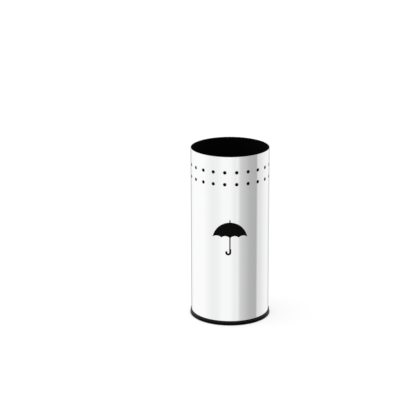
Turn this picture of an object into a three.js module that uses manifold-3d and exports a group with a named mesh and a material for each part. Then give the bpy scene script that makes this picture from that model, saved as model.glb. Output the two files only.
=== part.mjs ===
// An umbrella stand: a perforated stainless tube with a black liner, on a moulded plastic base that holds
// a loose water tray. Millimetres, +Z up. The origin is the middle of the footprint on the floor, and the
// emblem faces -Y.
import * as THREE from "three";
import { mergeVertices } from "three/addons/utils/BufferGeometryUtils.js";
import Module from "manifold-3d";

const wasm = await Module();
wasm.setup();

// Driving dimensions
const TUBE_DIAMETER = 225;
const HEIGHT = 500;
const SHEET = 0.5; // thickness of the stainless sheet
const GAP = 0.3; // clearance between pieces that touch
const FACETS = 84; // sides of every large round form, four to each perforation pitch

// Perforations
const HOLES_PER_ROW = 21;
const HOLE_DIAMETER = 9.8;
const HOLE_ROW_HEIGHTS = [454.5, 420];
const HOLE_PHASE = 9.6; // degrees from the front to the first hole, towards +X
const HOLE_SIDES = 16;

// Folded rim and lap seam of the shell
const HEM_HEIGHT = 7;
const HEM_ARC_STEPS = 4;
const LAP_WIDTH = 9;

// Plastic base
const BASE_DIAMETER = 230;
const BASE_TOP = 12;
const BASE_UNDERSIDE = 1.2;
const BASE_FLOOR = 3; // thickness of its floor
const BASE_SHOULDER = 6.5; // height where the lip starts to taper
const BASE_TAPER = 0.7; // inward, from the shoulder to the top
const BASE_EDGE = 0.6; // chamfer on the lip's corners
const SPIGOT_TOP = 22;
const SPIGOT_WALL = 2;
const UNDERSIDE_PANEL_RADIUS = 70;
const UNDERSIDE_PANEL_DEPTH = 0.8;

// Liner
const LINER_WALL = 1;
const LINER_TOP = 499.2;

// Water tray
const TRAY_HEIGHT = 40;
const TRAY_WALL = 1.8;
const TRAY_BOTTOM_RADIUS = 104.5;
const TRAY_TOP_RADIUS = 106;
const TRAY_LIP_RADIUS = 108.8;
const TRAY_LIP_DROP = 5; // height of the turned-down lip
const TRAY_FOOT_ROUND = 4;
const TRAY_FOOT_BEND = 0.3; // share of the rounding where its middle point lies
const TRAY_RING_RADII = [32, 66]; // raised rings that keep ferrules out of the water
const TRAY_RING_WIDTH = 5;
const TRAY_RING_HEIGHT = 1.6;
const TRAY_TAB_ANGLES = [90, 270]; // degrees from the front, of the middle of each lifting tab
const TRAY_TAB_WIDTH = 44;
const TRAY_TAB_RISE = 15; // above the lip

// Foot pads
const PAD_COUNT = 4;
const PAD_DIAMETER = 24;
const PAD_HEIGHT = 2.1;
const PAD_CIRCLE_RADIUS = 90;
const PAD_SIDES = 32;

// Emblem, drawn in arc length x height about the middle of the line between the canopy's tips
const EMBLEM_THICKNESS = 0.3;
const EMBLEM_STANDOFF = 0.1;
const EMBLEM_HEIGHT = 264.2; // of the canopy's tips, above the floor
const CANOPY_HALF_WIDTH = 50.8;
const CANOPY_ARC = { halfWidth: 52.6, halfHeight: 60.3 }; // the ellipse that the dome is cut from
const RIB_TIP = [24.6, 0]; // the point between the outer and the inner scallop
const MIDDLE_HEIGHT = 0; // where the inner scallops meet the shaft
const SCALLOP_RISES = [5, 4.6]; // outer, inner
const SCALLOP_FULLNESS = 0.8; // 1 is a sine arch, less is fuller
const SPIKE_LENGTH = 7.5;
const SPIKE_WIDTH = 3.2;
const SHAFT_WIDTH = 3.6;
const HANDLE_TOP = -34.2;
const HANDLE_WIDTH = 5.8;
const HANDLE_SHIFT = 0.9; // of the grip's middle from the shaft's
const HOOK_RADIUS = 5.6; // centreline
const HOOK_HEIGHT = -44.2; // of the middle of its curl
const HOOK_SWEEP = 192; // degrees from the grip round to the free end
const CURVE_STEPS = 8;

const DEGREE = Math.PI / 180;
const TUBE_RADIUS = TUBE_DIAMETER / 2;
const SHELL_INNER = TUBE_RADIUS - SHEET;
const HEM_INNER = SHELL_INNER - SHEET;
const LINER_OUTER = HEM_INNER - GAP;
const LINER_INNER = LINER_OUTER - LINER_WALL;
const BASE_FLOOR_TOP = BASE_UNDERSIDE + BASE_FLOOR;
const TUBE_BOTTOM = BASE_FLOOR_TOP + GAP;
const SPIGOT_OUTER = LINER_INNER - GAP;
const SPIGOT_INNER = SPIGOT_OUTER - SPIGOT_WALL;
const TRAY_BOTTOM = BASE_FLOOR_TOP + GAP;
const HOLE_PITCH = 360 / HOLES_PER_ROW;
const SEAM_ANGLE = HOLE_PHASE + HOLE_PITCH * (Math.floor(HOLES_PER_ROW / 2) - 0.5);

const materials = {
  stainless: new THREE.MeshStandardMaterial({ color: 0xdedede, roughness: 0.22, metalness: 1 }),
  plastic: new THREE.MeshStandardMaterial({ color: 0x151311, roughness: 0.45, metalness: 0 }),
  liner: new THREE.MeshStandardMaterial({ color: 0x070707, roughness: 0.7, metalness: 0 }),
  vinyl: new THREE.MeshStandardMaterial({ color: 0x0e0d0b, roughness: 0.5, metalness: 0 }),
  rubber: new THREE.MeshStandardMaterial({ color: 0x1a1a1a, roughness: 0.9, metalness: 0 }),
};

function toSolid(geometry) {
  const bare = geometry.clone();
  bare.deleteAttribute("normal");
  bare.deleteAttribute("uv");
  const merged = mergeVertices(bare, 1e-4);
  const triVerts = new Uint32Array(merged.index.array);
  const vertProperties = new Float32Array(merged.attributes.position.array);
  return new wasm.Manifold(new wasm.Mesh({ numProp: 3, vertProperties, triVerts }));
}

function toGeometry(solid) {
  const mesh = solid.getMesh();
  const geometry = new THREE.BufferGeometry();
  geometry.setAttribute("position", new THREE.BufferAttribute(mesh.vertProperties, 3));
  geometry.setIndex(new THREE.BufferAttribute(mesh.triVerts, 1));
  geometry.computeVertexNormals();
  return geometry;
}

// A profile of [radius, height] points, anticlockwise in that plane, turned about +Z.
function turned(points, facets = FACETS) {
  const profile = points.map(([radius, height]) => new THREE.Vector2(radius, height));
  const geometry = new THREE.LatheGeometry(profile, facets);
  return geometry.rotateX(Math.PI / 2);
}

// Closes a profile that doesn't touch the axis.
function closed(points) {
  return [...points, points[0]];
}

function named(name, geometry, material) {
  const mesh = new THREE.Mesh(geometry, material);
  mesh.name = name;
  return mesh;
}

// A round cutter from the axis outwards, at an angle from the front and a height.
function holeCutter(angle, height) {
  const length = 20;
  const cutter = new THREE.CylinderGeometry(HOLE_DIAMETER / 2, HOLE_DIAMETER / 2, length, HOLE_SIDES);
  cutter.translate(0, -TUBE_RADIUS, 0); // its own axis is Y, which points at the front
  cutter.rotateZ(angle * DEGREE);
  cutter.translate(0, 0, height);
  return toSolid(cutter);
}

// The tube's wall: plain sheet, with the last few millimetres folded inwards and down.
function shellWall() {
  const crown = SHEET; // radius of the fold
  const crownCentre = [TUBE_RADIUS - crown, HEIGHT - crown];
  const fold = [];
  for (let i = 0; i <= HEM_ARC_STEPS; i++) {
    const turn = (Math.PI * i) / HEM_ARC_STEPS;
    fold.push([crownCentre[0] + crown * Math.cos(turn), crownCentre[1] + crown * Math.sin(turn)]);
  }
  return turned(
    closed([
      [SHELL_INNER, TUBE_BOTTOM],
      [TUBE_RADIUS, TUBE_BOTTOM],
      ...fold,
      [HEM_INNER, HEIGHT - HEM_HEIGHT],
      [SHELL_INNER, HEIGHT - HEM_HEIGHT],
    ]),
  );
}

// A stretch of an upright ring wall: radii, height span, width along the arc, and its angle from the front.
function ringSector({ inner, outer, bottom, top, width, angle, steps }) {
  const halfAngle = width / 2 / outer;
  const outline = new THREE.Shape();
  outline.absarc(0, 0, outer, -halfAngle, halfAngle, false);
  outline.absarc(0, 0, inner, halfAngle, -halfAngle, true);
  outline.closePath();
  const settings = { depth: top - bottom, bevelEnabled: false, curveSegments: steps };
  const sector = new THREE.ExtrudeGeometry(outline, settings);
  sector.rotateZ((angle - 90) * DEGREE);
  sector.translate(0, 0, bottom);
  return toSolid(sector);
}

// The strip where one edge of the sheet laps over the other, between two columns of holes.
function lapStrip() {
  return ringSector({
    inner: TUBE_RADIUS - SHEET / 2,
    outer: TUBE_RADIUS + SHEET,
    bottom: BASE_TOP + GAP,
    top: HEIGHT - HEM_HEIGHT,
    width: LAP_WIDTH,
    angle: SEAM_ANGLE,
    steps: 2,
  });
}

function outerShell() {
  let solid = toSolid(shellWall()).add(lapStrip());
  for (const height of HOLE_ROW_HEIGHTS) {
    for (let i = 0; i < HOLES_PER_ROW; i++) {
      solid = solid.subtract(holeCutter(HOLE_PHASE + i * HOLE_PITCH, height));
    }
  }
  return named("outer_shell", toGeometry(solid), materials.stainless);
}

function innerLiner() {
  const wall = closed([
    [LINER_INNER, TUBE_BOTTOM],
    [LINER_OUTER, TUBE_BOTTOM],
    [LINER_OUTER, LINER_TOP],
    [LINER_INNER, LINER_TOP],
  ]);
  return named("inner_liner", turned(wall), materials.liner);
}

// Where foot pad number i stands: on a circle, at 45 degrees to the row axes.
function padCentre(i) {
  const angle = (i + 0.5) * ((2 * Math.PI) / PAD_COUNT);
  return [PAD_CIRCLE_RADIUS * Math.cos(angle), PAD_CIRCLE_RADIUS * Math.sin(angle)];
}

function uprightCylinder(radius, bottom, top, sides) {
  const cylinder = new THREE.CylinderGeometry(radius, radius, top - bottom, sides);
  cylinder.rotateX(Math.PI / 2);
  cylinder.translate(0, 0, (bottom + top) / 2);
  return cylinder;
}

function plasticBase() {
  const rim = BASE_DIAMETER / 2;
  const grooveOuter = TUBE_RADIUS + GAP;
  const panelTop = BASE_UNDERSIDE + UNDERSIDE_PANEL_DEPTH;
  const body = turned([
    [0, panelTop],
    [UNDERSIDE_PANEL_RADIUS, panelTop],
    [UNDERSIDE_PANEL_RADIUS + UNDERSIDE_PANEL_DEPTH, BASE_UNDERSIDE],
    [rim - BASE_EDGE, BASE_UNDERSIDE],
    [rim, BASE_UNDERSIDE + BASE_EDGE],
    [rim, BASE_SHOULDER],
    [rim - BASE_TAPER, BASE_TOP - BASE_EDGE],
    [rim - BASE_TAPER - BASE_EDGE / 2, BASE_TOP],
    [grooveOuter, BASE_TOP],
    [grooveOuter, BASE_FLOOR_TOP],
    [SPIGOT_OUTER, BASE_FLOOR_TOP],
    [SPIGOT_OUTER, SPIGOT_TOP - BASE_EDGE],
    [SPIGOT_OUTER - BASE_EDGE, SPIGOT_TOP],
    [SPIGOT_INNER, SPIGOT_TOP],
    [SPIGOT_INNER, BASE_FLOOR_TOP],
    [0, BASE_FLOOR_TOP],
  ]);
  let solid = toSolid(body);
  for (let i = 0; i < PAD_COUNT; i++) {
    const pocket = uprightCylinder(PAD_DIAMETER / 2 + GAP, 0, PAD_HEIGHT + GAP, PAD_SIDES);
    pocket.translate(...padCentre(i), 0);
    solid = solid.subtract(toSolid(pocket));
  }
  return named("plastic_base", toGeometry(solid), materials.plastic);
}

function waterTray() {
  const floorTop = TRAY_BOTTOM + TRAY_WALL;
  const top = TRAY_BOTTOM + TRAY_HEIGHT;
  const rings = TRAY_RING_RADII.toReversed().flatMap((radius) => [
    [radius + TRAY_RING_WIDTH / 2 + TRAY_RING_HEIGHT, floorTop],
    [radius + TRAY_RING_WIDTH / 2, floorTop + TRAY_RING_HEIGHT],
    [radius - TRAY_RING_WIDTH / 2, floorTop + TRAY_RING_HEIGHT],
    [radius - TRAY_RING_WIDTH / 2 - TRAY_RING_HEIGHT, floorTop],
  ]);
  const body = turned([
    [0, TRAY_BOTTOM],
    [TRAY_BOTTOM_RADIUS - TRAY_FOOT_ROUND, TRAY_BOTTOM],
    [TRAY_BOTTOM_RADIUS - TRAY_FOOT_ROUND * TRAY_FOOT_BEND, TRAY_BOTTOM + TRAY_FOOT_ROUND * TRAY_FOOT_BEND],
    [TRAY_BOTTOM_RADIUS, TRAY_BOTTOM + TRAY_FOOT_ROUND],
    [TRAY_TOP_RADIUS, top - TRAY_WALL],
    [TRAY_LIP_RADIUS - TRAY_WALL, top - TRAY_WALL],
    [TRAY_LIP_RADIUS - TRAY_WALL, top - TRAY_LIP_DROP],
    [TRAY_LIP_RADIUS, top - TRAY_LIP_DROP],
    [TRAY_LIP_RADIUS, top - TRAY_WALL],
    [TRAY_LIP_RADIUS - TRAY_WALL, top],
    [TRAY_TOP_RADIUS - TRAY_WALL, top],
    [TRAY_BOTTOM_RADIUS - TRAY_WALL, floorTop + TRAY_FOOT_ROUND],
    [TRAY_BOTTOM_RADIUS - TRAY_WALL - TRAY_FOOT_ROUND, floorTop],
    ...rings,
    [0, floorTop],
  ]);
  let solid = toSolid(body);
  for (const angle of TRAY_TAB_ANGLES) {
    const tab = ringSector({
      inner: TRAY_TOP_RADIUS - TRAY_WALL,
      outer: TRAY_TOP_RADIUS,
      bottom: top - TRAY_WALL / 2,
      top: top + TRAY_TAB_RISE,
      width: TRAY_TAB_WIDTH,
      angle,
      steps: 6,
    });
    solid = solid.add(tab);
  }
  return named("water_tray", toGeometry(solid), materials.plastic);
}

function footPad(i) {
  const pad = uprightCylinder(PAD_DIAMETER / 2, 0, PAD_HEIGHT, PAD_SIDES);
  pad.translate(...padCentre(i), 0);
  return named("foot_pad_" + (i + 1), pad, materials.rubber);
}

// Points on an ellipse between two angles, both ends included.
function arcPoints(centre, radii, from, to, steps) {
  return Array.from({ length: steps + 1 }, (_, i) => {
    const angle = from + ((to - from) * i) / steps;
    return [centre[0] + radii[0] * Math.cos(angle), centre[1] + radii[1] * Math.sin(angle)];
  });
}

// An arch between two points of the canopy's edge, without the points themselves.
function scallop(from, to, rise) {
  return Array.from({ length: CURVE_STEPS - 1 }, (_, i) => {
    const share = (i + 1) / CURVE_STEPS;
    const chord = from[1] + (to[1] - from[1]) * share;
    const lift = rise * Math.sin(Math.PI * share) ** SCALLOP_FULLNESS;
    return [from[0] + (to[0] - from[0]) * share, chord + lift];
  });
}

// The left half of the canopy, from the top of the spike round to the shaft.
function canopyHalf() {
  const { halfWidth, halfHeight } = CANOPY_ARC;
  const tipTurn = Math.acos(CANOPY_HALF_WIDTH / halfWidth);
  const centre = [0, -halfHeight * Math.sin(tipTurn)];
  const spikeTurn = Math.acos(SPIKE_WIDTH / 2 / halfWidth);
  const dome = arcPoints(centre, [-halfWidth, halfHeight], spikeTurn, tipTurn, 2 * CURVE_STEPS);
  const spikeTop = centre[1] + halfHeight + SPIKE_LENGTH;
  const tip = dome.at(-1);
  const rib = [-RIB_TIP[0], RIB_TIP[1]];
  const middle = [-SHAFT_WIDTH / 2, MIDDLE_HEIGHT];
  return [
    [-SPIKE_WIDTH / 4, spikeTop],
    [-SPIKE_WIDTH / 2, spikeTop - SPIKE_WIDTH],
    ...dome,
    ...scallop(tip, rib, SCALLOP_RISES[0]),
    rib,
    ...scallop(rib, middle, SCALLOP_RISES[1]),
    middle,
    [-SHAFT_WIDTH / 2, HANDLE_TOP],
  ];
}

// The grip and its hook, which curls towards -X, down the left side and back up the right.
function handleOutline() {
  const side = HANDLE_WIDTH / 2;
  const centre = [HANDLE_SHIFT - HOOK_RADIUS, HOOK_HEIGHT];
  const end = -HOOK_SWEEP * DEGREE;
  const inner = HOOK_RADIUS - side;
  const outer = HOOK_RADIUS + side;
  const endCentre = [centre[0] + HOOK_RADIUS * Math.cos(end), centre[1] + HOOK_RADIUS * Math.sin(end)];
  return [
    [HANDLE_SHIFT - side, HANDLE_TOP],
    ...arcPoints(centre, [inner, inner], 0, end, 2 * CURVE_STEPS),
    ...arcPoints(endCentre, [side, side], end - Math.PI, end, CURVE_STEPS).slice(1, -1),
    ...arcPoints(centre, [outer, outer], end, 0, 2 * CURVE_STEPS),
    [HANDLE_SHIFT + side, HANDLE_TOP],
  ];
}

// The emblem's outline as [arc length, height] points, anticlockwise from the spike.
function emblemOutline() {
  const left = canopyHalf();
  const right = left.map(([arc, height]) => [-arc, height]).reverse();
  return [...left, ...handleOutline(), ...right];
}

// The outline, pushed straight back through a thin ring round the tube, so that it follows the curve.
function umbrellaEmblem() {
  const inner = TUBE_RADIUS + EMBLEM_STANDOFF;
  const outer = inner + EMBLEM_THICKNESS;
  const outline = emblemOutline().map(
    ([arc, height]) => new THREE.Vector2(outer * Math.sin(arc / outer), EMBLEM_HEIGHT + height),
  );
  const settings = { depth: TUBE_RADIUS, bevelEnabled: false };
  const prism = new THREE.ExtrudeGeometry(new THREE.Shape(outline), settings);
  prism.rotateX(Math.PI / 2);
  prism.translate(0, -SHEET, 0);
  const bottom = EMBLEM_HEIGHT - 2 * CANOPY_HALF_WIDTH;
  const top = EMBLEM_HEIGHT + 2 * CANOPY_HALF_WIDTH;
  const ring = turned(closed([[inner, bottom], [outer, bottom], [outer, top], [inner, top]]));
  return named("umbrella_emblem", toGeometry(toSolid(prism).intersect(toSolid(ring))), materials.vinyl);
}

const stand = new THREE.Group();
stand.name = "umbrella_stand";
stand.add(outerShell(), innerLiner(), plasticBase(), waterTray(), umbrellaEmblem());
for (let i = 0; i < PAD_COUNT; i++) {
  stand.add(footPad(i));
}

export default stand;
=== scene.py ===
import math

import bmesh
import bpy
from mathutils import Matrix, Vector


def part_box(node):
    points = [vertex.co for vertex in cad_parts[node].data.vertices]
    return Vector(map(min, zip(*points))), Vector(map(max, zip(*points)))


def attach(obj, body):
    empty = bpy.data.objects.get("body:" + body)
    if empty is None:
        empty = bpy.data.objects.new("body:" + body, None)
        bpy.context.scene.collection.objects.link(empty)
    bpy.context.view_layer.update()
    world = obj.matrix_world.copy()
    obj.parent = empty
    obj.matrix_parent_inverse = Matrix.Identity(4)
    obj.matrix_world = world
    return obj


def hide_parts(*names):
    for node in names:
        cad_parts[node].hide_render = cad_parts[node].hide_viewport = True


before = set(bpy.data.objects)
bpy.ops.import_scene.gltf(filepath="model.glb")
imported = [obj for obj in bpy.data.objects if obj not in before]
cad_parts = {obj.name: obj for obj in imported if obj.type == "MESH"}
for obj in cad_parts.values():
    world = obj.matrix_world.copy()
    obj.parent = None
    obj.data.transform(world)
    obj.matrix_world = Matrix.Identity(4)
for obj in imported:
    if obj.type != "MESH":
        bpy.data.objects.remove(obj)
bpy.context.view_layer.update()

# Everything is in metres, in the frame's own coordinates: +Z up, the emblem faces -Y.
MM = 0.001
DEGREE = math.pi / 180

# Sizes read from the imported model
SHELL_LOW, SHELL_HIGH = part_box("outer_shell")
LINER_LOW, LINER_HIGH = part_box("inner_liner")
BASE_LOW, BASE_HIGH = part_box("plastic_base")
TRAY_LOW, TRAY_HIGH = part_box("water_tray")
TUBE_RADIUS = SHELL_HIGH.x
TUBE_BOTTOM = SHELL_LOW.z
TUBE_TOP = SHELL_HIGH.z
PAD_COUNT = 4
GAP = 0.3 * MM  # between pieces that touch

# Steel sheet, its folded hem and its perforations
SHEET = 0.5 * MM
HEM_HEIGHT = 7 * MM
HOLES_PER_ROW = 21
HOLE_RADIUS = 4.9 * MM
HOLE_ROWS = [420 * MM, 454.5 * MM]
HOLE_PHASE = 9.6 * DEGREE
HOLE_PITCH = 2 * math.pi / HOLES_PER_ROW
HOLE_ROLLOVER = 0.3 * MM
CELL_HALF_HEIGHT = (HOLE_ROWS[1] - HOLE_ROWS[0]) / 2  # of the square of sheet round each hole
PERFORATED_BOTTOM = HOLE_ROWS[0] - CELL_HALF_HEIGHT
PERFORATED_TOP = HOLE_ROWS[1] + CELL_HALF_HEIGHT
COLUMNS_PER_PITCH = 8
COLUMNS = HOLES_PER_ROW * COLUMNS_PER_PITCH

# A hole's edge, from the sheet's inner face to its outer one: share of the rollover outwards, and share
# of the sheet's thickness below the outer face
HOLE_EDGE = [(0, 1), (0, 0.6), (0.12, 0.35), (0.42, 0.12), (1, 0), (1.8, 0)]
INNER_FACE_SHARES = [1, 0.6, 0.25]  # of the way from the hole to its square, for each ring of the net
OUTER_FACE_SHARES = [0.2, 0.5, 1]

# Lap seam, halfway between two columns of holes
SEAM_ANGLE = HOLE_PHASE + HOLE_PITCH * (HOLES_PER_ROW // 2 - 0.5)
LAP_WIDTH = 9 * MM
LAP_EDGE_ROUND = 0.25 * MM
WELD_PITCH = 38 * MM
WELD_RADIUS = 2.2 * MM
WELD_DEPTH = 0.16 * MM

# Liner and base
LINER_WALL = 1 * MM
BASE_LIP_TOP = 12 * MM
BASE_SHOULDER = 6.5 * MM  # height where the lip starts to taper
BASE_TAPER = 0.7 * MM
BASE_PANEL_RADIUS = 70 * MM
BASE_PANEL_DEPTH = 0.8 * MM
FLOOR_TOP = TUBE_BOTTOM - GAP
GROOVE_OUTER = TUBE_RADIUS + GAP
SPIGOT_OUTER = LINER_HIGH.x - LINER_WALL - GAP
SPIGOT_INNER = SPIGOT_OUTER - 2 * MM

# Water tray
TRAY_WALL = 1.8 * MM
TRAY_LIP_TOP = TRAY_LOW.z + 40 * MM
TRAY_LIP_DROP = 5 * MM
TRAY_FOOT_RADIUS = 104.5 * MM
TRAY_TOP_RADIUS = 106 * MM
TRAY_RING_RADII = [66 * MM, 32 * MM]
TRAY_RING_WIDTH = 5 * MM
TRAY_RING_HEIGHT = 1.6 * MM
TAB_HALF_WIDTH = 22 * MM
TAB_CORNER = 6 * MM
TAB_RISE = 15 * MM
TAB_STEP = 0.01 * MM  # from the lip to the foot of the tabs, which keeps the lip level

# Emblem, in millimetres along the curve and up from the canopy's tips
EMBLEM_HEIGHT = 264.2 * MM  # of the canopy's tips
CANOPY_HALF_WIDTH = 50.8
CANOPY_ARC = (52.6, 60.3)  # radii of the ellipse that the dome is cut from
RIB_TIP = (24.6, 0)
MIDDLE_HEIGHT = 0  # where the inner scallops meet the shaft
SCALLOP_RISES = (5, 4.6)  # outer, inner
SCALLOP_FULLNESS = 0.8  # 1 is a sine arch, less is fuller
SPIKE_LENGTH = 7.5
SPIKE_WIDTH = 3.2
SHAFT_WIDTH = 3.6
HANDLE_TOP = -34.2
HANDLE_WIDTH = 5.8
HANDLE_SHIFT = 0.9  # of the grip's middle from the shaft's
HOOK_RADIUS = 5.6  # of its centreline
HOOK_HEIGHT = -44.2  # of the middle of its curl
HOOK_SWEEP = 192 * DEGREE
VINYL_THICKNESS = 0.14 * MM
VINYL_STANDOFF = 0.02 * MM

# Fineness of the meshes
ROUND_SEGMENTS = 168
TRAY_SEGMENTS = 288
PAD_SEGMENTS = 64
CURVE_STEPS = 20
SHARP_EDGE = 35 * DEGREE
WELD_DISTANCE = 0.0001 * MM

# Camera, in front of the tube's axis
CAMERA_DISTANCE = 4.374
CAMERA_HEIGHT = 1.6746
CAMERA_HEADING = 1.13 * DEGREE
CAMERA_TILT = 16.95 * DEGREE
CAMERA_ROLL = -0.25 * DEGREE
CAMERA_LENS = 143.1
CAMERA_REACH = 100  # how far it sees
SENSOR_WIDTH = 36

# Floor and lamp
FLOOR_REACH = 30
FLOOR_GLOW = 0.7
# width of the painted contact shadow round the base, over which the floor's glow fades in
PAINTED_SHADOW_WIDTH = 3 * MM
LAMP_DIRECTION = (0.35, 0.6, -1.6)
LAMP_WIDTH = 60 * DEGREE
LAMP_STRENGTH = 1.0

# The studio's sweep as (azimuth from the emblem's side in degrees, tone): white all round, with one grey
# flag whose soft edge is towards the camera and whose hard edge is away from it, and a dimmer far side.
SWEEP = [
    (-180, 0.2),
    (-163, 0.38),
    (-154, 0.98),
    (-125, 1.05),
    (-84, 1.05),
    (-66, 0.98),
    (-54, 0.93),
    (-36, 0.95),
    (-22, 1.02),
    (0, 1.02),
    (15, 0.905),
    (22.5, 0.94),
    (29, 0.73),
    (34, 0.655),
    (46, 0.585),
    (60, 0.49),
    (84.5, 0.455),
    (88.5, 0.78),
    (98, 0.80),
    (117, 0.92),
    (136, 0.99),
    (150, 0.96),
    (163, 0.58),
    (180, 0.2),
]
SWEEP_STRENGTH = 1.1

# Above the horizon, the side that the camera stands on is dim. Both ranges are of the direction's own
# coordinates, from where the dimming starts to where it is full.
DIM_TONE = 0.12
DIM_FROM_HEIGHT = (0, 0.15)
DIM_FROM_FRONT = (0.15, 0.45)

NOISE_MIDDLE = (0.3, 0.7)  # the range that most of a noise texture's values fall in


# ---------------------------------------------------------------- node helpers


def blank_material(name):
    material = bpy.data.materials.new(name)
    material.use_nodes = True
    nodes, links = material.node_tree.nodes, material.node_tree.links
    return material, nodes, links, nodes["Principled BSDF"]


def object_coordinates(nodes):
    return nodes.new("ShaderNodeTexCoord").outputs["Object"]


def separated(nodes, links, vector):
    """The X, Y and Z outputs of a vector."""
    axes = nodes.new("ShaderNodeSeparateXYZ")
    links.new(vector, axes.inputs[0])
    return axes.outputs


def stretched_noise(nodes, links, scale, detail, roughness=0.5):
    """Noise in the object's own coordinates, in features per metre along each axis."""
    place = nodes.new("ShaderNodeMapping")
    place.inputs["Scale"].default_value = scale
    links.new(object_coordinates(nodes), place.inputs["Vector"])
    noise = nodes.new("ShaderNodeTexNoise")
    noise.inputs["Scale"].default_value = 1
    noise.inputs["Detail"].default_value = detail
    noise.inputs["Roughness"].default_value = roughness
    links.new(place.outputs[0], noise.inputs["Vector"])
    return noise.outputs["Fac"]


def spread(nodes, links, value, old, new):
    """A value moved from one (low, high) range to another, and kept inside it."""
    ranged = nodes.new("ShaderNodeMapRange")
    ranged.inputs["From Min"].default_value = old[0]
    ranged.inputs["From Max"].default_value = old[1]
    ranged.inputs["To Min"].default_value = new[0]
    ranged.inputs["To Max"].default_value = new[1]
    links.new(value, ranged.inputs["Value"])
    return ranged.outputs[0]


def calculated(nodes, links, operation, a, b):
    """A Math node on a node's output and either another output or a plain number."""
    maths = nodes.new("ShaderNodeMath")
    maths.operation = operation
    links.new(a, maths.inputs[0])
    if isinstance(b, (int, float)):
        maths.inputs[1].default_value = b
    else:
        links.new(b, maths.inputs[1])
    return maths.outputs[0]


def mixed(nodes, links, factor, a, b):
    """A mix of two colours, each either (red, green, blue) or a node's output."""
    mix = nodes.new("ShaderNodeMix")
    mix.data_type = "RGBA"
    links.new(factor, mix.inputs["Factor"])
    for name, colour in (("A", a), ("B", b)):
        if isinstance(colour, tuple):
            mix.inputs[name].default_value = (*colour, 1)
        else:
            links.new(colour, mix.inputs[name])
    return mix.outputs["Result"]


def grey(tone):
    return (tone, tone, tone)


def bumped(nodes, links, shader, height, distance, strength):
    bump = nodes.new("ShaderNodeBump")
    bump.inputs["Distance"].default_value = distance
    bump.inputs["Strength"].default_value = strength
    links.new(height, bump.inputs["Height"])
    links.new(bump.outputs[0], shader.inputs["Normal"])


# ---------------------------------------------------------------- camera, stage and light


def new_object(name, data):
    obj = bpy.data.objects.new(name, data)
    bpy.context.scene.collection.objects.link(obj)
    return obj


def make_camera():
    data = bpy.data.cameras.new("photo_camera")
    data.sensor_width = SENSOR_WIDTH
    data.lens = CAMERA_LENS
    data.clip_end = CAMERA_REACH
    camera = new_object("photo_camera", data)
    camera.location = (0, -CAMERA_DISTANCE, CAMERA_HEIGHT)
    heading = Matrix.Rotation(CAMERA_HEADING, 3, "Z")
    tilt = Matrix.Rotation(math.pi / 2 - CAMERA_TILT, 3, "X")
    roll = Matrix.Rotation(CAMERA_ROLL, 3, "Z")
    camera.rotation_euler = (heading @ tilt @ roll).to_euler()
    bpy.context.scene.camera = camera


def make_stage():
    mesh = bpy.data.meshes.new("floor")
    signs = [(-1, -1), (1, -1), (1, 1), (-1, 1)]
    mesh.from_pydata([(x * FLOOR_REACH, y * FLOOR_REACH, 0) for x, y in signs], [], [(0, 1, 2, 3)])
    mesh.materials.append(floor_paint())
    floor = new_object("floor", mesh)
    floor.visible_glossy = False  # the steel mirrors the studio's sweep, not the near floor


def make_light():
    data = bpy.data.lights.new("overhead_softbox", "SUN")
    data.angle = LAMP_WIDTH
    data.energy = LAMP_STRENGTH
    lamp = new_object("overhead_softbox", data)
    lamp.rotation_euler = Vector(LAMP_DIRECTION).to_track_quat("-Z", "Y").to_euler()
    lamp.visible_glossy = False


def sweep_ramp(nodes, links, share):
    """The sweep's tone at a share of the way round from behind the object."""
    ramp = nodes.new("ShaderNodeValToRGB")
    links.new(share, ramp.inputs[0])
    stops = ramp.color_ramp.elements
    while len(stops) > 1:
        stops.remove(stops[-1])
    for i, (angle, tone) in enumerate(SWEEP):
        position = (angle + 180) / 360
        stop = stops[0] if i == 0 else stops.new(position)
        stop.position = position
        stop.color = (*grey(tone / SWEEP_STRENGTH), 1)
    return ramp.outputs[0]


def make_world():
    world = bpy.data.worlds.new("studio")
    bpy.context.scene.world = world
    world.use_nodes = True
    nodes, links = world.node_tree.nodes, world.node_tree.links
    x, y, z = separated(nodes, links, nodes.new("ShaderNodeTexCoord").outputs["Generated"])
    forward = calculated(nodes, links, "MULTIPLY", y, -1)
    azimuth = calculated(nodes, links, "ARCTAN2", x, forward)
    tone = sweep_ramp(nodes, links, spread(nodes, links, azimuth, (-math.pi, math.pi), (0, 1)))
    high = spread(nodes, links, z, DIM_FROM_HEIGHT, (0, 1))
    front = spread(nodes, links, forward, DIM_FROM_FRONT, (0, 1))
    dim = calculated(nodes, links, "MULTIPLY", high, front)
    background = nodes["Background"]
    links.new(mixed(nodes, links, dim, tone, grey(DIM_TONE)), background.inputs["Color"])
    background.inputs["Strength"].default_value = SWEEP_STRENGTH


# ---------------------------------------------------------------- materials


def stainless_steel():
    """Polished sheet with a fine grain that runs round the tube, and faint handling marks."""
    material, nodes, links, shader = blank_material("stainless_steel")
    shader.inputs["Metallic"].default_value = 1
    shader.inputs["Anisotropic"].default_value = 0.75
    shader.inputs["Anisotropic Rotation"].default_value = 0.25  # reflections blur up and down the tube
    tangent = nodes.new("ShaderNodeTangent")
    tangent.direction_type = "RADIAL"
    tangent.axis = "Z"
    links.new(tangent.outputs[0], shader.inputs["Tangent"])
    grain = stretched_noise(nodes, links, scale=(9, 9, 2600), detail=3)
    streaks = stretched_noise(nodes, links, scale=(3, 3, 420), detail=2)
    marks = stretched_noise(nodes, links, scale=(14, 14, 9), detail=4, roughness=0.6)
    fine = spread(nodes, links, grain, NOISE_MIDDLE, (0.09, 0.13))
    wiped = spread(nodes, links, marks, (0.5, 0.75), (0, 0.04))
    links.new(calculated(nodes, links, "ADD", fine, wiped), shader.inputs["Roughness"])
    colour = mixed(nodes, links, streaks, (0.905, 0.908, 0.912), (0.935, 0.936, 0.938))
    links.new(colour, shader.inputs["Base Color"])
    bumped(nodes, links, shader, grain, distance=0.02 * MM, strength=0.12)
    return material


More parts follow.
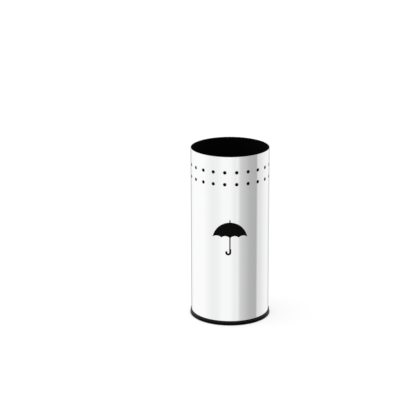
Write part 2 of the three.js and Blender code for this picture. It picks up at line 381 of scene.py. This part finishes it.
def sheared_steel_painted_shade():
    """The walls and steep rolled edges of the punched holes: dull, torn metal, painted near-black as painted
    shade in the holes.
    """
    material, nodes, links, shader = blank_material("sheared_steel_painted_shade")
    shader.inputs["Metallic"].default_value = 1
    torn = stretched_noise(nodes, links, scale=(1500, 1500, 300), detail=3)
    # painted shade: the hole walls and their steep edges get a near-black colour, far darker than steel
    links.new(mixed(nodes, links, torn, grey(0.05), grey(0.12)), shader.inputs["Base Color"])
    links.new(spread(nodes, links, torn, NOISE_MIDDLE, (0.5, 0.7)), shader.inputs["Roughness"])
    return material


def moulded_plastic(name, dark, light, roughness, grain_per_metre, grain_strength, specular):
    """Black moulded plastic with a spark-eroded grain."""
    material, nodes, links, shader = blank_material(name)
    grain = stretched_noise(nodes, links, scale=(grain_per_metre,) * 3, detail=2)
    cloud = stretched_noise(nodes, links, scale=(24, 24, 24), detail=3)
    shader.inputs["Specular IOR Level"].default_value = specular
    links.new(mixed(nodes, links, cloud, dark, light), shader.inputs["Base Color"])
    around = (roughness - 0.05, roughness + 0.05)
    links.new(spread(nodes, links, cloud, NOISE_MIDDLE, around), shader.inputs["Roughness"])
    bumped(nodes, links, shader, grain, distance=0.1 * MM, strength=grain_strength)
    return material


def base_moulding():
    """The base's black plastic, with a painted highlight: the lip's tapered shoulder is painted lighter and
    glossier than its foot, as if lit from above.
    """
    material, nodes, links, shader = blank_material("base_moulding")
    grain = stretched_noise(nodes, links, scale=(1400, 1400, 1400), detail=2)
    cloud = stretched_noise(nodes, links, scale=(30, 30, 30), detail=3)
    height = separated(nodes, links, object_coordinates(nodes))["Z"]
    # painted highlight: above the shoulder the plastic is painted lighter and given more specular, standing
    # in for light falling on the taper
    painted_highlight_mask = spread(nodes, links, height, (BASE_SHOULDER - 1 * MM, BASE_SHOULDER + 1 * MM), (0, 1))
    foot_colour = mixed(nodes, links, cloud, (0.0008, 0.0004, 0.0002), (0.0018, 0.0011, 0.0007))
    painted_highlight_colour = mixed(nodes, links, cloud, (0.0085, 0.0062, 0.0048), (0.0135, 0.0105, 0.0085))
    links.new(mixed(nodes, links, painted_highlight_mask, foot_colour, painted_highlight_colour), shader.inputs["Base Color"])
    links.new(spread(nodes, links, painted_highlight_mask, (0, 1), (0.02, 0.09)), shader.inputs["Specular IOR Level"])
    links.new(spread(nodes, links, cloud, NOISE_MIDDLE, (0.38, 0.5)), shader.inputs["Roughness"])
    bumped(nodes, links, shader, grain, distance=0.1 * MM, strength=0.12)
    return material


def floor_paint():
    """The white acrylic of a light table, made to glow evenly, with the glow taken out under the base and
    faded in just outside it as a painted contact shadow.
    """
    material, nodes, links, shader = blank_material("floor_paint")
    away = nodes.new("ShaderNodeVectorMath")
    away.operation = "LENGTH"
    links.new(object_coordinates(nodes), away.inputs[0])
    # painted contact shadow: no glow inside the base's radius, fading up to full glow a few millimetres
    # outside it
    edge = (BASE_HIGH.x, BASE_HIGH.x + PAINTED_SHADOW_WIDTH)
    glow_with_painted_shadow = spread(nodes, links, away.outputs["Value"], edge, (0, FLOOR_GLOW))
    links.new(glow_with_painted_shadow, shader.inputs["Emission Strength"])
    shader.inputs["Emission Color"].default_value = (*grey(1), 1)
    shader.inputs["Roughness"].default_value = 0.9
    shader.inputs["Specular IOR Level"].default_value = 0
    cloud = stretched_noise(nodes, links, scale=(2, 2, 2), detail=2)
    links.new(mixed(nodes, links, cloud, grey(0.38), grey(0.4)), shader.inputs["Base Color"])
    return material


# ---------------------------------------------------------------- mesh helpers


def mesh_object(name, vertices, faces, material):
    """A closed piece, shaded smooth except at its sharp edges. Vertices in one place become one."""
    shape = bmesh.new()
    corners = [shape.verts.new(v) for v in vertices]
    for face in faces:
        shape.faces.new([corners[i] for i in face])
    bmesh.ops.remove_doubles(shape, verts=shape.verts, dist=WELD_DISTANCE)
    bmesh.ops.recalc_face_normals(shape, faces=shape.faces)
    mesh = bpy.data.meshes.new(name)
    shape.to_mesh(mesh)
    shape.free()
    mesh.shade_smooth()
    mesh.set_sharp_from_angle(angle=SHARP_EDGE)
    mesh.materials.append(material)
    return new_object(name, mesh)


def on_tube(angle, radius, height):
    """A point at an angle from the emblem's side, towards +X."""
    return (radius * math.sin(angle), -radius * math.cos(angle), height)


def arc_points(centre, radii, start, end, steps):
    """Points on an ellipse between two angles, both ends included."""
    angles = [start + (end - start) * i / steps for i in range(steps + 1)]
    return [(centre[0] + radii[0] * math.cos(a), centre[1] + radii[1] * math.sin(a)) for a in angles]


def filleted(corners, steps=5):
    """A line of (radius, height, fillet) corners, with each corner rounded by its fillet."""
    line = []
    for i, (x, z, fillet) in enumerate(corners):
        here = Vector((x, z))
        if not fillet:
            line.append(here)
            continue
        before = (Vector(corners[i - 1][:2]) - here).normalized()
        after = (Vector(corners[(i + 1) % len(corners)][:2]) - here).normalized()
        half_turn = before.angle(after) / 2
        reach = fillet / math.tan(half_turn)
        middle = here + (before + after).normalized() * (fillet / math.sin(half_turn))
        first, last = here + before * reach - middle, here + after * reach - middle
        sweep = first.angle(last)
        for step in range(steps + 1):
            share = step / steps
            arm = first * math.sin((1 - share) * sweep) + last * math.sin(share * sweep)
            line.append(middle + arm / math.sin(sweep))
    return [(p.x, p.y) for p in line]


def lathed(name, line, material, closed=True, segments=ROUND_SEGMENTS, raise_by=None):
    """A line of (radius, height) points turned about the tube's axis. An open line starts and ends on
    the axis."""
    vertices, faces = [], []
    for i in range(segments):
        angle = 2 * math.pi * i / segments
        for radius, height in line:
            rise = raise_by(angle, radius, height) if raise_by else 0
            vertices.append(on_tube(angle, radius, height + rise))
    count = len(line)
    for i in range(segments):
        near, far = i * count, (i + 1) % segments * count
        for j in range(count if closed else count - 1):
            k = (j + 1) % count
            ring = [near + j, far + j, far + k, near + k]
            if line[j][0] == 0:
                ring = [near + j, far + k, near + k]
            elif line[k][0] == 0:
                ring = [near + j, far + j, near + k]
            faces.append(ring)
    return mesh_object(name, vertices, faces, material)


# ---------------------------------------------------------------- the steel tube


def hole_rings():
    """The rings of a perforation's net, from the sheet's inner face out through the hole to its outer
    face, as (hole radius, share of the way to the square, depth below the outer face)."""
    inner_face = [(HOLE_RADIUS, share, SHEET) for share in INNER_FACE_SHARES]
    edge = [(HOLE_RADIUS + out * HOLE_ROLLOVER, 0, depth * SHEET) for out, depth in HOLE_EDGE]
    outer_radius = edge[-1][0]
    outer_face = [(outer_radius, share, 0) for share in OUTER_FACE_SHARES]
    return inner_face + edge + outer_face


def hole_cell(angle, row):
    """One perforation and the square of sheet round it, as a net of quads."""
    loops = []
    for hole, share, depth in hole_rings():
        loop = []
        for side in range(4):
            for step in range(COLUMNS_PER_PITCH):
                along = 2 * step / COLUMNS_PER_PITCH - 1
                square = [(1, along), (-along, 1), (-1, -along), (along, -1)][side]
                turn = (side + step / COLUMNS_PER_PITCH - 0.5) * math.pi / 2
                round_across, square_across = hole / TUBE_RADIUS * math.cos(turn), square[0] * HOLE_PITCH / 2
                round_up, square_up = hole * math.sin(turn), square[1] * CELL_HALF_HEIGHT
                across = (1 - share) * round_across + share * square_across
                up = (1 - share) * round_up + share * square_up
                loop.append(on_tube(angle + across, TUBE_RADIUS - depth, row + up))
        loops.append(loop)
    vertices = [v for loop in loops for v in loop]
    count = 4 * COLUMNS_PER_PITCH
    faces = [
        (i * count + j, i * count + (j + 1) % count, (i + 1) * count + (j + 1) % count, (i + 1) * count + j)
        for i in range(len(loops) - 1)
        for j in range(count)
    ]
    return vertices, faces


def tube_band(line):
    """A line of (radius, height) points turned about the axis, in columns that meet those of the holes."""
    vertices = [
        on_tube(HOLE_PHASE + HOLE_PITCH * (i / COLUMNS_PER_PITCH - 0.5), radius, height)
        for i in range(COLUMNS)
        for radius, height in line
    ]
    count = len(line)
    faces = [
        (i * count + j, (i + 1) % COLUMNS * count + j, (i + 1) % COLUMNS * count + j + 1, i * count + j + 1)
        for i in range(COLUMNS)
        for j in range(count - 1)
    ]
    return vertices, faces


def hem_line():
    """The section above the holes: up the outer face, over the fold and back to the inner face."""
    crown = arc_points((TUBE_RADIUS - SHEET, TUBE_TOP - SHEET), (SHEET, SHEET), 0, math.pi, 12)
    hem_bottom = TUBE_TOP - HEM_HEIGHT
    edge_centre = (TUBE_RADIUS - 1.5 * SHEET, hem_bottom)
    hem_edge = arc_points(edge_centre, (SHEET / 2, SHEET / 2), -math.pi, -math.pi / 2, 4)
    return [
        (TUBE_RADIUS, PERFORATED_TOP),
        *crown,
        *hem_edge,
        (TUBE_RADIUS - SHEET, hem_bottom - SHEET / 2),
        (TUBE_RADIUS - SHEET, PERFORATED_TOP),
    ]


def wall_line():
    """The section below the holes: down the inner face and back up the outer one."""
    rows = 12
    drop = TUBE_BOTTOM - PERFORATED_BOTTOM
    heights = [PERFORATED_BOTTOM + drop * i / rows for i in range(rows + 1)]
    inner_face = [(TUBE_RADIUS - SHEET, height) for height in heights]
    return inner_face + [(TUBE_RADIUS, height) for height in reversed(heights)]


def steel_tube(material, wall_material):
    """The rolled sheet, with its perforations and its folded rim."""
    parts = [
        hole_cell(HOLE_PHASE + i * HOLE_PITCH, row)
        for row in HOLE_ROWS
        for i in range(HOLES_PER_ROW)
    ]
    parts += [tube_band(hem_line()), tube_band(wall_line())]
    vertices, faces = [], []
    for part_vertices, part_faces in parts:
        start = len(vertices)
        vertices.extend(part_vertices)
        faces.extend(tuple(start + i for i in face) for face in part_faces)
    tube = mesh_object("steel_tube", vertices, faces, material)
    paint_hole_walls(tube.data, wall_material)
    level_normals(tube.data)
    return tube


def outward(x, y):
    return Vector((x, y, 0)).normalized()


def paint_hole_walls(mesh, wall_material):
    """Gives a second material to the perforations' faces that turn away from the sheet's own."""
    sheet_facing = 0.8
    mesh.materials.append(wall_material)
    for face in mesh.polygons:
        x, y, z = face.center
        facing = abs(face.normal.dot(outward(x, y)))
        if PERFORATED_BOTTOM < z < PERFORATED_TOP and facing < sheet_facing:
            face.material_index = 1


def level_normals(mesh):
    """Points the shading normals of the tube's outer face straight out, so that it mirrors evenly."""
    same_radius, same_facing = 0.001 * MM, 0.995
    normals = [corner.vector.copy() for corner in mesh.corner_normals]
    for face in mesh.polygons:
        for corner in face.loop_indices:
            x, y, _ = mesh.vertices[mesh.loops[corner].vertex_index].co
            on_face = abs(math.hypot(x, y) - TUBE_RADIUS) < same_radius
            if on_face and face.normal.dot(outward(x, y)) > same_facing:
                normals[corner] = outward(x, y)
    mesh.normals_split_custom_set(normals)


def lap_seam(material):
    """The overlapping edge of the rolled sheet, with a row of shallow spot welds."""
    bottom, top = BASE_LIP_TOP + GAP, TUBE_TOP - HEM_HEIGHT
    across, up = 14, 560
    vertices, faces = [], []
    for i in range(up + 1):
        height = bottom + (top - bottom) * i / up
        for j in range(across + 1):
            along = (j / across - 0.5) * LAP_WIDTH
            from_edge = min(LAP_WIDTH / 2 - abs(along), height - bottom, top - height)
            drop = 0
            if from_edge < LAP_EDGE_ROUND:
                drop = LAP_EDGE_ROUND - math.sqrt(LAP_EDGE_ROUND**2 - (LAP_EDGE_ROUND - from_edge) ** 2)
            weld = (height - bottom) % WELD_PITCH - WELD_PITCH / 2
            away = math.hypot(along, weld) / WELD_RADIUS
            dent = WELD_DEPTH * math.exp(-(away**4))
            radius = TUBE_RADIUS + SHEET - drop - dent
            vertices.append(on_tube(SEAM_ANGLE + along / TUBE_RADIUS, radius, height))
    row = across + 1
    for i in range(up):
        for j in range(across):
            a = i * row + j
            faces.append((a, a + 1, a + row + 1, a + row))
    # The strip's back is one face that stands just off the sheet's own, so the two never share a place
    off_sheet = 0.02 * MM
    rim = list(range(row))
    rim += [i * row + across for i in range(1, up + 1)]
    rim += [up * row + j for j in range(across - 1, -1, -1)]
    rim += [i * row for i in range(up - 1, 0, -1)]
    start = len(vertices)
    for index in rim:
        x, y, z = vertices[index]
        shrink = (TUBE_RADIUS + off_sheet) / math.hypot(x, y)
        vertices.append((x * shrink, y * shrink, z))
    count = len(rim)
    for k in range(count):
        faces.append((rim[k], rim[(k + 1) % count], start + (k + 1) % count, start + k))
    faces.append(tuple(start + k for k in range(count)))
    return mesh_object("lap_seam", vertices, faces, material)


# ---------------------------------------------------------------- liner, base, tray, pads


def liner_sleeve(material):
    """The black sleeve inside the tube."""
    outer, inner = LINER_HIGH.x, LINER_HIGH.x - LINER_WALL
    line = filleted(
        [
            (inner, LINER_LOW.z, 0.2 * MM),
            (outer, LINER_LOW.z, 0.2 * MM),
            (outer, LINER_HIGH.z, 0.35 * MM),
            (inner, LINER_HIGH.z, 0.35 * MM),
        ],
        steps=3,
    )
    return lathed("liner_sleeve", line, material)


def moulded_base(material):
    """The base: lip, groove, spigot ring and floor, with a recessed panel and pad pockets underneath."""
    rim, foot = BASE_HIGH.x, BASE_LOW.z
    line = filleted(
        [
            (0, foot + BASE_PANEL_DEPTH, 0),
            (BASE_PANEL_RADIUS, foot + BASE_PANEL_DEPTH, 0.4 * MM),
            (BASE_PANEL_RADIUS + BASE_PANEL_DEPTH, foot, 0.4 * MM),
            (rim, foot, 0.8 * MM),
            (rim, BASE_SHOULDER, 1.2 * MM),
            (rim - BASE_TAPER, BASE_LIP_TOP, 0.5 * MM),
            (GROOVE_OUTER, BASE_LIP_TOP, 0.2 * MM),
            (GROOVE_OUTER, FLOOR_TOP, 0),
            (SPIGOT_OUTER, FLOOR_TOP, 0),
            (SPIGOT_OUTER, BASE_HIGH.z, 0.6 * MM),
            (SPIGOT_INNER, BASE_HIGH.z, 0.6 * MM),
            (SPIGOT_INNER, FLOOR_TOP, 1.2 * MM),
            (0, FLOOR_TOP, 0),
        ]
    )
    base = lathed("moulded_base", line, material, closed=False)
    pockets = [pad_pocket(i) for i in range(1, PAD_COUNT + 1)]
    for pocket in pockets:
        cut = base.modifiers.new(pocket.name, "BOOLEAN")
        cut.object = pocket
        cut.operation = "DIFFERENCE"
        cut.solver = "EXACT"
    settle(base)
    for pocket in pockets:
        bpy.data.objects.remove(pocket)
    return base


def settle(obj):
    """Makes the modifiers' result the piece's own mesh."""
    bpy.context.view_layer.update()
    result = obj.evaluated_get(bpy.context.evaluated_depsgraph_get())
    mesh = bpy.data.meshes.new_from_object(result)
    obj.modifiers.clear()
    obj.data = mesh


def pad_place(i):
    """A foot pad's centre, radius and height, from its CAD node."""
    low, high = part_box(f"foot_pad_{i}")
    return (low + high) / 2, (high.x - low.x) / 2, high.z


def pad_pocket(i):
    """A cutter that reaches from below the base to a gap above the pad."""
    centre, pad_radius, pad_height = pad_place(i)
    radius = pad_radius + GAP
    depth = 2 * (pad_height + GAP)
    shape = bmesh.new()
    bmesh.ops.create_cone(
        shape, cap_ends=True, segments=PAD_SEGMENTS, radius1=radius, radius2=radius, depth=depth
    )
    mesh = bpy.data.meshes.new(f"pocket_{i}")
    shape.to_mesh(mesh)
    shape.free()
    pocket = new_object(f"pocket_{i}", mesh)
    pocket.location = (centre.x, centre.y, 0)
    return pocket


def foot_pad(i, material):
    """A rubber disc with rounded edges."""
    centre, radius, height = pad_place(i)
    line = filleted([(0, 0, 0), (radius, 0, 0.4 * MM), (radius, height, 0.2 * MM), (0, height, 0)], steps=4)
    pad = lathed(f"rubber_pad_{i}", line, material, closed=False, segments=PAD_SEGMENTS)
    pad.data.transform(Matrix.Translation((centre.x, centre.y, 0)))
    return pad


def drip_tray(material):
    """The loose tray: a turned-down lip, two raised rings on its floor, and two lifting tabs."""
    low, lip = TRAY_LOW.z, TRAY_HIGH.x
    floor = low + TRAY_WALL
    rings = []
    for radius in TRAY_RING_RADII:
        half_top = TRAY_RING_WIDTH / 2
        half_foot = half_top + TRAY_RING_HEIGHT
        rings += [
            (radius + half_foot, floor, 0.5 * MM),
            (radius + half_top, floor + TRAY_RING_HEIGHT, 0.6 * MM),
            (radius - half_top, floor + TRAY_RING_HEIGHT, 0.6 * MM),
            (radius - half_foot, floor, 0.5 * MM),
        ]
    line = filleted(
        [
            (0, low, 0),
            (TRAY_FOOT_RADIUS - 0.1 * MM, low, 4 * MM),
            (TRAY_TOP_RADIUS, TRAY_LIP_TOP - TRAY_WALL, 0.4 * MM),
            (lip - TRAY_WALL, TRAY_LIP_TOP - TRAY_WALL, 0.5 * MM),
            (lip - TRAY_WALL, TRAY_LIP_TOP - TRAY_LIP_DROP, 0.6 * MM),
            (lip, TRAY_LIP_TOP - TRAY_LIP_DROP, 0.6 * MM),
            (lip, TRAY_LIP_TOP, 1.8 * MM),
            (TRAY_TOP_RADIUS, TRAY_LIP_TOP, 0),
            (TRAY_TOP_RADIUS - TAB_STEP, TRAY_LIP_TOP + TAB_STEP, 0),
            (TRAY_TOP_RADIUS - TRAY_WALL, TRAY_LIP_TOP, 0.7 * MM),
            (TRAY_FOOT_RADIUS - TRAY_WALL, floor, 4 * MM),
            *rings,
            (0, floor, 0),
        ]
    )
    return lathed("drip_tray", line, material, closed=False, segments=TRAY_SEGMENTS, raise_by=tab_rise)


def tab_rise(angle, radius, height):
    """How far the top of the tray's wall is drawn up at this angle, to make the two lifting tabs."""
    wall_edge = TRAY_LIP_TOP - 0.8 * MM  # just below the rounding on the wall's inner edge
    if height < wall_edge or radius > TRAY_TOP_RADIUS - TAB_STEP / 2:
        return 0
    sides = (math.pi / 2, -math.pi / 2)
    along = min(abs(math.remainder(angle - side, 2 * math.pi)) for side in sides) * radius
    if along >= TAB_HALF_WIDTH:
        return 0
    inset = TAB_HALF_WIDTH - along
    if inset >= TAB_CORNER:
        return TAB_RISE
    return TAB_RISE - TAB_CORNER + math.sqrt(TAB_CORNER**2 - (TAB_CORNER - inset) ** 2)


# ---------------------------------------------------------------- emblem


def scallop(start, end, rise):
    """An arch between two points of the canopy's edge, without the points themselves."""
    arch = []
    for i in range(1, CURVE_STEPS):
        share = i / CURVE_STEPS
        chord = start[1] + (end[1] - start[1]) * share
        lift = rise * math.sin(math.pi * share) ** SCALLOP_FULLNESS
        arch.append((start[0] + (end[0] - start[0]) * share, chord + lift))
    return arch


def canopy_half():
    """The left half of the canopy, from the top of the spike round to the foot of the shaft."""
    half_width, half_height = CANOPY_ARC
    tip_turn = math.acos(CANOPY_HALF_WIDTH / half_width)
    centre = (0, -half_height * math.sin(tip_turn))
    spike_radius = SPIKE_WIDTH / 2
    spike_turn = math.acos(spike_radius / half_width)
    dome = arc_points(centre, (-half_width, half_height), spike_turn, tip_turn, 2 * CURVE_STEPS)
    spike_centre = (0, centre[1] + half_height + SPIKE_LENGTH - spike_radius)
    spike_tip = arc_points(spike_centre, (spike_radius, spike_radius), 100 * DEGREE, math.pi, 6)
    rib = (-RIB_TIP[0], RIB_TIP[1])
    middle = (-SHAFT_WIDTH / 2, MIDDLE_HEIGHT)
    return [
        *spike_tip,
        *dome,
        *scallop(dome[-1], rib, SCALLOP_RISES[0]),
        rib,
        *scallop(rib, middle, SCALLOP_RISES[1]),
        middle,
        (-SHAFT_WIDTH / 2, HANDLE_TOP),
    ]


def handle_outline():
    """The grip and its hook, which curls towards -X, down the left side and back up the right."""
    side = HANDLE_WIDTH / 2
    inner, outer = HOOK_RADIUS - side, HOOK_RADIUS + side
    centre = (HANDLE_SHIFT - HOOK_RADIUS, HOOK_HEIGHT)
    end = -HOOK_SWEEP
    end_centre = (centre[0] + HOOK_RADIUS * math.cos(end), centre[1] + HOOK_RADIUS * math.sin(end))
    return [
        (HANDLE_SHIFT - side, HANDLE_TOP),
        *arc_points(centre, (inner, inner), 0, end, 2 * CURVE_STEPS),
        *arc_points(end_centre, (side, side), end - math.pi, end, CURVE_STEPS)[1:-1],
        *arc_points(centre, (outer, outer), end, 0, 2 * CURVE_STEPS),
        (HANDLE_SHIFT + side, HANDLE_TOP),
    ]


def vinyl_emblem(material):
    """The flat outline, cut into upright strips that can follow the tube's curve, with a back, a front
    and sides."""
    left = canopy_half()
    outline = left + handle_outline() + [(-x, z) for x, z in reversed(left)]
    flat = bmesh.new()
    flat.faces.new([flat.verts.new((x * MM, 0, z * MM)) for x, z in outline]).normal_update()
    strip = 2 * MM
    snap = 0.01 * MM  # a cut this near to a corner goes through the corner
    reach = CANOPY_ARC[0] * MM
    cut = -reach
    while cut < reach:
        everything = flat.verts[:] + flat.edges[:] + flat.faces[:]
        bmesh.ops.bisect_plane(flat, geom=everything, dist=snap, plane_co=(cut, 0, 0), plane_no=(1, 0, 0))
        cut += strip
    bmesh.ops.triangulate(flat, faces=flat.faces[:])
    flat.verts.index_update()
    back_radius = TUBE_RADIUS + VINYL_STANDOFF
    vertices = [
        on_tube(v.co.x / TUBE_RADIUS, radius, EMBLEM_HEIGHT + v.co.z)
        for radius in (back_radius, back_radius + VINYL_THICKNESS)
        for v in flat.verts
    ]
    count = len(flat.verts)
    back = [[v.index for v in face.verts] for face in flat.faces]
    front = [[count + i for i in reversed(face)] for face in back]
    rim = [(edge.verts[0].index, edge.verts[1].index) for edge in flat.edges if edge.is_boundary]
    sides = [(a, b, count + b, count + a) for a, b in rim]
    flat.free()
    return mesh_object("vinyl_emblem", vertices, back + front + sides, material)


# ---------------------------------------------------------------- assembly


def place(piece, body, slot, *nodes):
    """Puts a piece on its body, in place of the CAD nodes that it stands for. The slot is not used."""
    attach(piece, body)
    if nodes:
        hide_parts(*nodes)


bpy.context.scene.view_settings.view_transform = "Standard"
make_camera()
make_stage()
make_light()
make_world()

steel = stainless_steel()
base_plastic = base_moulding()
tray_plastic = moulded_plastic(
    "tray_plastic",
    dark=(0.005, 0.005, 0.0048),
    light=(0.008, 0.0078, 0.0074),
    roughness=0.36,
    grain_per_metre=900,
    grain_strength=0.05,
    specular=0.4,
)
liner_plastic = moulded_plastic(
    "liner_plastic",
    dark=(0.002, 0.0019, 0.0019),
    light=(0.0036, 0.0034, 0.0034),
    roughness=0.7,
    grain_per_metre=700,
    grain_strength=0.1,
    specular=0.05,
)
vinyl = moulded_plastic(
    "emblem_vinyl",
    dark=(0.0026, 0.0024, 0.002),
    light=(0.0036, 0.0033, 0.0028),
    roughness=0.5,
    grain_per_metre=1800,
    grain_strength=0.05,
    specular=0.03,
)
rubber = moulded_plastic(
    "pad_rubber",
    dark=(0.012, 0.012, 0.012),
    light=(0.02, 0.02, 0.02),
    roughness=0.85,
    grain_per_metre=1100,
    grain_strength=0.3,
    specular=0.3,
)

place(steel_tube(steel, sheared_steel_painted_shade()), "stand", "stainless", "outer_shell")
place(lap_seam(steel), "stand", "stainless")
place(liner_sleeve(liner_plastic), "stand", "liner", "inner_liner")
place(moulded_base(base_plastic), "stand", "base_plastic", "plastic_base")
place(vinyl_emblem(vinyl), "stand", "emblem_vinyl", "umbrella_emblem")
for i in range(1, PAD_COUNT + 1):
    place(foot_pad(i, rubber), "stand", "pad_rubber", f"foot_pad_{i}")
place(drip_tray(tray_plastic), "tray", "tray_plastic", "water_tray")
